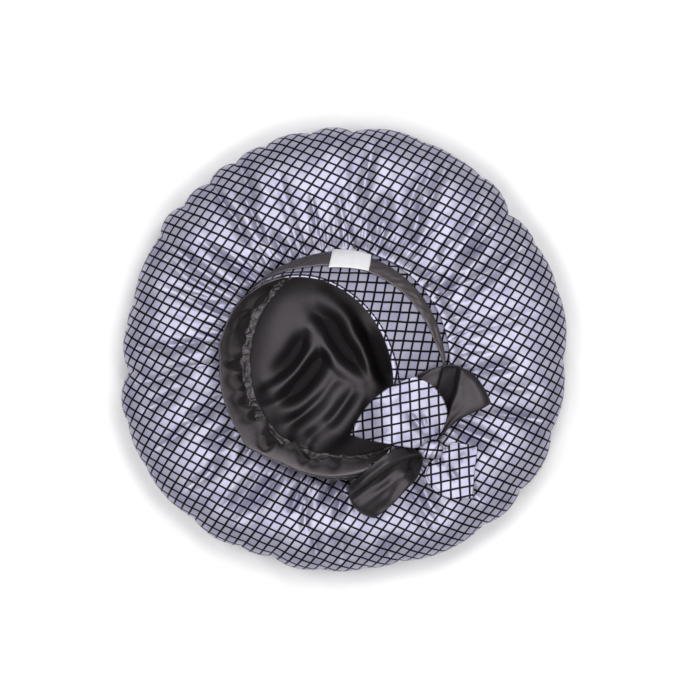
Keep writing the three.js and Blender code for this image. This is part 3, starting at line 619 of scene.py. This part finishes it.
def band_shape_at(angle, up):
    """The band's outer face, where up runs 0 at the seam and 1 at the rim."""
    out = out_of_seam(angle)
    root = on_oval(seam, angle, 0) + out * cad_wall
    rise = rise_mean + rise_towards_x * np.cos(angle) + rise_towards_y * np.sin(angle)
    top = on_oval(rim, angle, rise)
    lean = top - root
    apart = (np.degrees(angle) - held_at + 180) % 360 - 180
    lean[:, :2] *= (1 - held_share * np.exp(-((apart / held_half_width) ** 2)))[:, None]
    lean -= out * np.interp(np.degrees(angle) % 360, pull_angles, rim_pulls)[:, None]
    inward = (-(lean * out).sum(-1)).clip(0)
    root_height = seam_height + root_gap + cad_wall * inward / np.hypot(inward, lean[:, 2])
    belly = band_belly * np.sin(math.pi * up.clip(0, 1))
    point = root + lean * up[:, None] + out * belly[:, None]
    point[:, 2] = root_height + up * lean[:, 2]
    return point


def band_down(angle, down):
    return band_shape_at(angle, 1 - down)


def band_weave(u, v, point):
    """Straight over the leaning side as seen from above, and on down the sides that stand steeply."""
    angle = 2 * math.pi * u
    top = band_down(angle, 0 * v)
    out = out_of_seam(angle)
    length = np.linalg.norm(point - top, axis=-1)
    covered = ((point - top) * out).sum(-1)
    return point[:, :2] + out[:, :2] * (0.8 * length - covered).clip(0)[:, None]


band_satin = checked_satin("band_checked_satin", (87.65, 0.105), (168.3, 0.951))
band = fit(cloth("band_outer_cloth", 320, 20, lambda u, v: band_down(2 * math.pi * u, v), band_weave, flip=True),
           "band_outer", band_satin)

hem_stitches = 66
stitch_length, stitch_width = 4.6, 1.5
thread = new_material("polyester_sewing_thread")
thread_place = add_node(thread, "ShaderNodeTexCoord")
twist = add_node(thread, "ShaderNodeTexNoise", {"Vector": thread_place.outputs["Object"], "Scale": 1500.0})
show(thread, {"Base Color": blend(thread, twist.outputs["Fac"], "060509", "14121a"), "Roughness": 0.8,
              "Specular IOR Level": 0.2})


def stitched_line(name, places, length, width, material):
    """A row of short stitches, each a small spindle laid from one place towards the next."""
    row = bmesh.new()
    for start, end in zip(places, places[1:]):
        made = bmesh.ops.create_uvsphere(row, u_segments=6, v_segments=4, radius=0.5)["verts"]
        bmesh.ops.scale(row, verts=made, vec=(width * mm, width * mm, length * mm))
        turned = Vector(end - start).to_track_quat("Z", "Y").to_matrix()
        bmesh.ops.rotate(row, verts=made, matrix=turned)
        bmesh.ops.translate(row, verts=made, vec=Vector((start + end) / 2 * mm))
    for face in row.faces:
        face.smooth = True
    piece = placed(name, row)
    piece.data.materials.append(material)
    return piece


hem_angle = np.radians(np.linspace(-42, 140, hem_stitches + 1))
hem_down = np.interp(np.degrees(hem_angle), [-42, -20, 0, 20, 40, 60, 90, 140],
                     [0.12, 0.1, 0.08, 0.05, 0.035, 0.03, 0.045, 0.045])
hem_places = moved_out(band_down, 0.12)(hem_angle, hem_down)
hem = stitched_line("band_hem_stitches", hem_places, stitch_length, stitch_width, thread)
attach(hem, "root")


# The band's facing: the black satin inside of the band. Below, it turns inward over the lining's edge, where elastic
# thread ruches it into small puffs.
facing_depth = 1.0
facing_wall = 0.7
foot_turn = 0.62  # where the facing leaves the band for its foot, as a share of its own run
foot_leaves = 0.92  # the same place, as a share of the band's run
slump_angles = [0, 60, 110, 150, 180, 210, 232, 262, 290, 320]
slumps = [1.0, 1.0, 3.5, 8.0, 11.0, 11.0, 12.0, 12.0, 10.0, 4.0]  # how far the loose satin slumps inward
slump_steps = [0, 8, 13]  # the slumps at which the run's unevenness is set
roll_angles = [0, 95, 125, 215, 245, 270, 300, 325, 345]
rolls = [0.0, 0.0, 1.2, 1.2, 1.5, 2.0, 6.0, 3.0, 0.0]  # how far the facing rolls out over the rim
puff_size = 8.5  # of the small irregular puffs that the elastic thread draws up
puff_height = 3.0


def facing_shape(u, v):
    angle = 2 * math.pi * u
    degrees = np.degrees(angle)
    inner = moved_out(band_down, -facing_depth)
    slump = np.interp(degrees, slump_angles, slumps, period=360)
    down = (v / foot_turn).clip(0, 1)
    down = down ** np.interp(slump, slump_steps, [1, 1.3, 2.4])
    on_band = inner(angle, down * foot_leaves)
    leaves = inner(angle, np.full(angle.shape, foot_leaves))
    out = out_of_seam(angle)
    corner = on_oval(seam, angle, seam_height + 0.8) - out * 1.5
    foot = np.interp(degrees, foot_angles, foot_widths, period=360)[:, None]
    end = on_oval(seam, angle, seam_height - 1.0) - out * foot
    t = ((v - foot_turn) / (1 - foot_turn)).clip(0, 1)[:, None]
    turning = leaves * (1 - t) ** 2 + corner * 2 * t * (1 - t) + end * t**2
    point = np.where((v > foot_turn)[:, None], turning, on_band)
    soft = wandering(5 * np.cos(angle), 5 * np.sin(angle), 2.0 * v)
    crumple = 0.4 - 1.6 * np.abs(wandering(7 * np.cos(angle), 7 * np.sin(angle), 3.5 * v))
    hanging = ((v - 0.09) / 0.71).clip(0, 1)
    early = np.interp(slump, slump_steps, [0.85, 0.75, 0.55])
    inward = slump * np.sin(math.pi * hanging**early) ** 1.2 * (1 + 0.9 * soft + 0.9 * crumple)
    point -= out * inward[:, None]
    point[:, 2] -= slump * 0.1 * np.sin(math.pi * hanging**0.5) * (1 + 3 * soft + 2 * crumple)
    rolled = np.interp(degrees, roll_angles, rolls, period=360)
    point += out * (rolled * (1 - eased(v, 0, 0.1)))[:, None]
    point[:, 2] += 2.8 * np.sin(math.pi * (v / 0.16).clip(0, 1)) ** 0.8 * rolled.clip(0, 1)
    point[:, 2] -= 0.4 * rolled * (1 - v / 0.04).clip(0)
    # The puffs: cells of uneven size with cracks between them.
    cracks = []
    for x, y, z in zip(angle * 85 / puff_size, v * 42 / puff_size, 0 * v):
        near = noise.voronoi((x, y, z))[0]
        cracks.append(near[1] - near[0])
    puff = (np.array(cracks) / 0.8).clip(0, 1) ** 0.6
    drawn = eased(v, 0.7, 0.79)
    point[:, 2] += puff_height * (puff - 0.45) * drawn * (1 - 0.5 * eased(v, 0.94, 1))
    return point - out * (1.6 * (puff - 0.5) * drawn)[:, None]


# The facing's base colours are lighter than the lining's dye: painted light, for the light that its satin catches
# inside the band.
facing_satin = black_satin("facing_black_satin", 1.0, 0.5, ("161415", "232021"))
facing = fit(cloth("band_facing_cloth", 640, 48, facing_shape, wall=facing_wall), "band_facing",
             facing_satin)


# The tie ribbon: a narrow black satin ribbon laid round the foot of the band and drawn into the bow.
RibbonEdge = namedtuple("RibbonEdge", "at foot top")
ribbon_edges = np.array([
    RibbonEdge(-14, 0.09, 0.15), RibbonEdge(2, 0.11, 0.17), RibbonEdge(15, 0.13, 0.28), RibbonEdge(41, 0.13, 0.37),
    RibbonEdge(65, 0.14, 0.5), RibbonEdge(92, 0.16, 0.75), RibbonEdge(112, 0.16, 0.8), RibbonEdge(135, 0.12, 0.5),
    RibbonEdge(150, 0.06, 0.36), RibbonEdge(312, 0.06, 0.36)])


def ribbon_shape(u, v):
    degrees = mixed(ribbon_edges[0, 0], ribbon_edges[-1, 0], u)
    foot = np.interp(degrees, ribbon_edges[:, 0], ribbon_edges[:, 1])
    top = np.interp(degrees, ribbon_edges[:, 0], ribbon_edges[:, 2])
    crease = wandering(degrees / 3.2 + v, 2.0 * v, 8.1)
    bulge = 1.1 + 0.5 * np.sin(math.pi * v) + 1.1 * crease * np.sin(math.pi * v)

    return lifted(band_down, np.radians(degrees), 1 - mixed(top, foot, v), bulge)


# The ribbon's base colours are lighter than the lining's dye: partly its own black, partly painted light for where it
# lies flat and catches the light.
ribbon_satin = black_satin("ribbon_black_satin", 1.0, 0.5, ("262425", "343132"))
ribbon = fit(cloth("tie_ribbon_cloth", 360, 10, ribbon_shape, wall=0.6, flip=True), "tie_ribbon",
             ribbon_satin)


# The label: a small folded tab of white woven tape, left blank, over the ribbon. It is stitched down at both ends, but
# those stitches are not drawn.
Corner = namedtuple("Corner", "at up")
outer_left, outer_right = Corner(93.5, 0.09), Corner(73, 0.08)
inner_right, inner_left = Corner(63.5, 0.49), Corner(80.5, 0.73)


def label_shape(u, v):
    at = mixed(mixed(inner_right.at, inner_left.at, u), mixed(outer_right.at, outer_left.at, u), v)
    up = mixed(mixed(inner_right.up, inner_left.up, u), mixed(outer_right.up, outer_left.up, u), v)
    edge = np.minimum(np.minimum(u, 1 - u), np.minimum(v, 1 - v))
    lift = 2.9 - 0.45 * (1 - eased(edge, 0, 0.06)) + 0.25 * np.sin(math.pi * u) * np.sin(math.pi * v)
    return lifted(band_down, np.radians(at), 1 - up, lift)


# Damask tape: dense white threads, matte, with fine ribs across the tape. The ribs are drawn at 0.6 mm.
tape = new_material("woven_damask_tape")
tape_place = add_node(tape, "ShaderNodeUVMap", uv_map="Cloth")
ribs = add_node(tape, "ShaderNodeTexWave", {"Vector": tape_place.outputs["UV"], "Scale": 520.0, "Distortion": 0.6,
                                            "Detail": 1.0}, bands_direction="Y")
dust = add_node(tape, "ShaderNodeTexNoise", {"Vector": tape_place.outputs["UV"], "Scale": 220.0, "Detail": 4.0})
tape_relief = add_node(tape, "ShaderNodeBump", {"Height": ribs.outputs["Fac"], "Strength": 0.25,
                                                "Distance": 0.15 * mm})
show(tape, {"Base Color": blend(tape, dust.outputs["Fac"], "d6d6da", "e4e4e6"), "Roughness": 0.75,
            "Specular IOR Level": 0.3, "Sheen Weight": 0.1, "Normal": tape_relief.outputs[0]})
label = fit(cloth("band_label_tape", 40, 24, label_shape, wall=0.8, flip=True), "band_label", tape)


# The knot: the end of the checked tie, pulled tight round the bow's middle so that it crumples.
knot_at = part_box("bow_knot")
knot_middle = (knot_at[0] + knot_at[1]) / 2
knot_half = (knot_at[1] - knot_at[0]) / 2
bow_check = ((1.85, 0.83), (101.7, 0.205))
bow_satin = checked_satin("bow_checked_satin", *bow_check)
knot_satin = checked_satin("knot_checked_satin", (86.7, 0.96), (164.0, 0.545))
knot_grown = Vector((1.3, 1.25, 1.05))  # the cloth's folds stand out from the plain lump
knot_creases = [(0.42, 0.09, 1.0), (-0.38, 0.08, 0.8)]  # each one's place along the pull, half width and strength
knot_crease_depth, knot_crumple_size = 0.13, 0.1
knot_net = bmesh.new()
bmesh.ops.create_uvsphere(knot_net, u_segments=96, v_segments=64, radius=1.0)
bmesh.ops.rotate(knot_net, verts=knot_net.verts, matrix=Vector((1, 0.25, 0)).to_track_quat("Z", "Y").to_matrix())
knot_layer = knot_net.loops.layers.uv.new("Cloth")
for vert in knot_net.verts:
    direction = vert.co.normalized()
    boxed = sum(abs(part) ** 3 for part in direction) ** (-1 / 3)
    pulled = direction.x * 0.9 - direction.y * 0.45
    crease = sum(strength * math.exp(-(((pulled - at) / width) ** 2)) for at, width, strength in knot_creases)
    crumple = noise.noise(direction * 1.9 + Vector((4, 1, 2)))
    size = boxed * (1 - knot_crease_depth * crease * (direction.z > -0.5) + knot_crumple_size * crumple)
    vert.co = Vector([direction[i] * knot_half[i] * knot_grown[i] * size + knot_middle[i] for i in range(3)])
for face in knot_net.faces:
    face.smooth = True
    for corner in face.loops:
        corner[knot_layer].uv = corner.vert.co.xy
knot = fit(placed("bow_knot_cloth", knot_net), "bow_knot", knot_satin)


# The bow's two loops: flattened tubes of black satin, each folded back under itself to the knot, with a crease along.
Section = namedtuple("Section", "right left bow")
knot_place = np.array([68.0, -78.3])
knot_reach = np.array([8.0, 6.6])
loop_sections = {
    "bow_loop_upper": [Section((86, -59), (64, -56), 3), Section((96, -52.5), (61, -43), 8),
                       Section((107, -47.5), (59, -31), 13), Section((116, -42.6), (58.5, -20.5), 18)],
    "bow_loop_lower": [Section((50, -76), (59, -99), 1), Section((35.5, -80.5), (47.5, -112), 1),
                       Section((20, -92.5), (37.5, -122.5), 2), Section((4.5, -106.5), (24.5, -132.5), 7)],
}


def ear_plan(sections, gap, neck_half=4.5):
    """Where an ear of the bow lies seen from above: across from its right edge to its left, along from its neck."""
    first = (np.array(sections[0].right) + np.array(sections[0].left)) / 2
    away = (first - knot_place) / np.linalg.norm(first - knot_place)
    neck = knot_place + away * (np.linalg.norm(away * knot_reach) + gap)
    side = np.array([away[1], -away[0]]) * neck_half
    rows = [[*(neck + side), *(neck - side), 0]] + [[*s.right, *s.left, s.bow] for s in sections]

    def plan(across, along):
        at = through(rows, along)
        right, left = at[:, 0:2], at[:, 2:4]
        outward = np.stack([left[:, 1] - right[:, 1], right[:, 0] - left[:, 0]], axis=-1)
        outward /= np.linalg.norm(outward, axis=-1, keepdims=True)
        bow = (4 * across * (1 - across) * at[:, 4])[:, None]
        return mixed(right, left, across[:, None]) + outward * bow

    return plan


def lying_heights(node, plan, steps=24):
    """The middle height of a CAD ear over its plan, smoothed."""
    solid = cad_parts[node].data
    tree = BVHTree.FromPolygons([v.co for v in solid.vertices], [tuple(p.vertices) for p in solid.polygons])
    across, along = np.meshgrid(np.linspace(0, 1, steps + 1), np.linspace(0, 1, steps + 1), indexing="ij")
    places = plan(mixed(0.06, 0.94, across.ravel()), mixed(0.03, 0.96, along.ravel())) * mm
    table = []
    for x, y in places:
        ends = []
        for start, way in ((1.0, -1.0), (-1.0, 1.0)):
            hit = tree.ray_cast(Vector((x, y, start)), Vector((0, 0, way)))[0]
            ends.append((hit or tree.find_nearest(Vector((x, y, knot_middle.z)))[0]).z / mm)
        table.append(sum(ends) / 2)
    table = np.array(table).reshape(steps + 1, steps + 1)
    for _ in range(6):
        padded = np.pad(table, 1, mode="edge")
        table = (padded[2:, 1:-1] + padded[:-2, 1:-1] + padded[1:-1, 2:] + padded[1:-1, :-2] + 4 * table) / 8

    def at(across, along):
        x, y = across.clip(0, 1) * steps, along.clip(0, 1) * steps
        i, j = np.minimum(x.astype(int), steps - 1), np.minimum(y.astype(int), steps - 1)
        s, t = x - i, y - j
        return mixed(mixed(table[i, j], table[i + 1, j], s), mixed(table[i, j + 1], table[i + 1, j + 1], s), t)

    return at


# How a loop's upper layer rises in millimetres, going across from its right edge to its left: each rise with the
# places across where it starts and ends, near the neck and at the far end, and where along the loop it comes and goes.
# A negative one presses the layer down. Along the upper loop's deep crease it lies below the loop's lower layer.
Slope = namedtuple("Slope", "rise near_start near_end far_start far_end first last")
loop_slopes = {
    "bow_loop_upper": [
        Slope(5, -0.3, 0.12, -0.3, 0.12, -0.2, 1.3), Slope(-11, 0.16, 0.5, 0.5, 0.64, -0.2, 1.3),
        Slope(7, 0.66, 0.74, 0.68, 0.76, 0.5, 1.3), Slope(-3.5, 0.05, 0.5, 0.05, 0.5, -0.2, 1.3)],
    "bow_loop_lower": [
        Slope(6, -0.3, 0.02, -0.3, 0.02, -0.2, 1.3), Slope(8, 0.0, 0.32, 0.0, 0.16, -0.2, 1.3),
        Slope(-14, 0.32, 0.46, 0.15, 0.25, 0.0, 1.3), Slope(4.5, 0.56, 0.75, 0.34, 0.6, 0.0, 1.3),
        Slope(-9, 0.2, 0.5, 0.7, 1.0, -0.2, 0.42)],
}


def loop_shape(name):
    plan = ear_plan(loop_sections[name], 0.5, 3.0)
    heights = lying_heights(name, plan)
    first_turn = 0.5
    start = math.sin(first_turn / 2)

    def shape(u, v):
        turn = mixed(first_turn, 2 * math.pi - first_turn, v)
        along = ((np.sin(turn / 2) - start) / (1 - start)).clip(0, 1)
        upper = (turn < math.pi) * np.sin(turn).clip(0) ** 0.5
        rise = np.zeros(u.shape)
        for slope in loop_slopes[name]:
            begins = mixed(slope.near_start, slope.far_start, along)
            ends = mixed(slope.near_end, slope.far_end, along)
            shown = eased(along, slope.first, slope.first + 0.2) * (1 - eased(along, slope.last - 0.2, slope.last))
            rise += slope.rise * eased(u, begins, ends) * shown
        layer = 3 * (v < 0.5)  # the two layers wander apart
        soft = wandering(2.6 * u, 3.2 * along, 5 + layer) + 0.35 * wandering(6 * u, 5.5 * along, 9 + layer)
        pulled = 0.7 * np.sin(9 * math.pi * u) * (1 - along) ** 3
        over = upper * (rise + 2.4 * soft + pulled + 0.5)
        swell = 2.8 * np.sin(turn) * (0.75 + 0.5 * np.sin(math.pi * u).clip(0) ** 0.7)
        return np.column_stack([plan(u, along), heights(u, along) + swell + over])

    return shape


loop_satin = black_satin("loop_black_satin", 0.56, 0.48, dull_heights=(61 * mm, 68 * mm))
for loop_name in loop_sections:
    loop = fit(cloth(loop_name + "_cloth", 60, 96, loop_shape(loop_name), wall=0.7, flip=True), loop_name,
               loop_satin)


# The bow's two tails: flared single layers of checked satin with a narrow rolled hem. One lies over the mouth's edge
# and the other on the crown.
tail_sections = {
    "bow_tail_over_mouth": [Section((78.5, -61), (57.5, -77), 0), Section((81.3, -49.5), (44, -75.8), 2),
                            Section((77, -37), (30, -73), 4), Section((68.5, -27.5), (16.5, -70.2), 6),
                            Section((56, -21.3), (5.5, -67.2), 8.5)],
    "bow_tail_outer": [Section((64, -97), (85.5, -73.4), 0), Section((68.5, -108), (91.5, -73.6), 1),
                       Section((83, -116.8), (98.5, -74.8), 1), Section((102, -117), (106, -75.8), -1)],
}
tail_creases = {
    "bow_tail_over_mouth": [
        Crease(3.0, 2.4, [(51, -49), (56, -56), (62, -64)]), Crease(2.4, 2.0, [(62, -50), (64, -62)]),
        Crease(1.2, 5, [(40, -38), (50, -46)])],
    "bow_tail_outer": [
        Crease(3.0, 2.4, [(83, -93), (89, -103)]), Crease(2.2, 2.2, [(73, -84), (78, -92)]),
        Crease(1.2, 3, [(92, -80), (97, -90)])],
}


def tail_shape(name):
    plan = ear_plan(tail_sections[name], 1.2)
    heights = lying_heights(name, plan)

    def shape(u, v):
        edge = np.minimum(np.minimum(u, 1 - u) * 40, (1 - v) * 60)
        hem = 0.5 * np.exp(-(((edge - 1.2) / 0.9) ** 2))
        pleat = (1.0 + np.sin(7 * math.pi * u + 0.5)) * (1 - v).clip(0) ** 2.5 * 0.8
        soft = wandering(2.0 * u, 2.4 * v, 9.0)
        place = plan(u, v)
        dent = lying_creases(tail_creases[name], place[:, 0], place[:, 1])
        return np.column_stack([place, heights(u, v) + 0.3 + hem + pleat - dent + 1.6 * (soft + 0.3).clip(0)])

    return shape


for tail_name, flat_size in (("bow_tail_over_mouth", (0.055, 0.08)), ("bow_tail_outer", (0.04, 0.05))):
    tail = fit(cloth(tail_name + "_cloth", 56, 56, tail_shape(tail_name), wall=0.7, flip=True), tail_name,
               bow_satin)
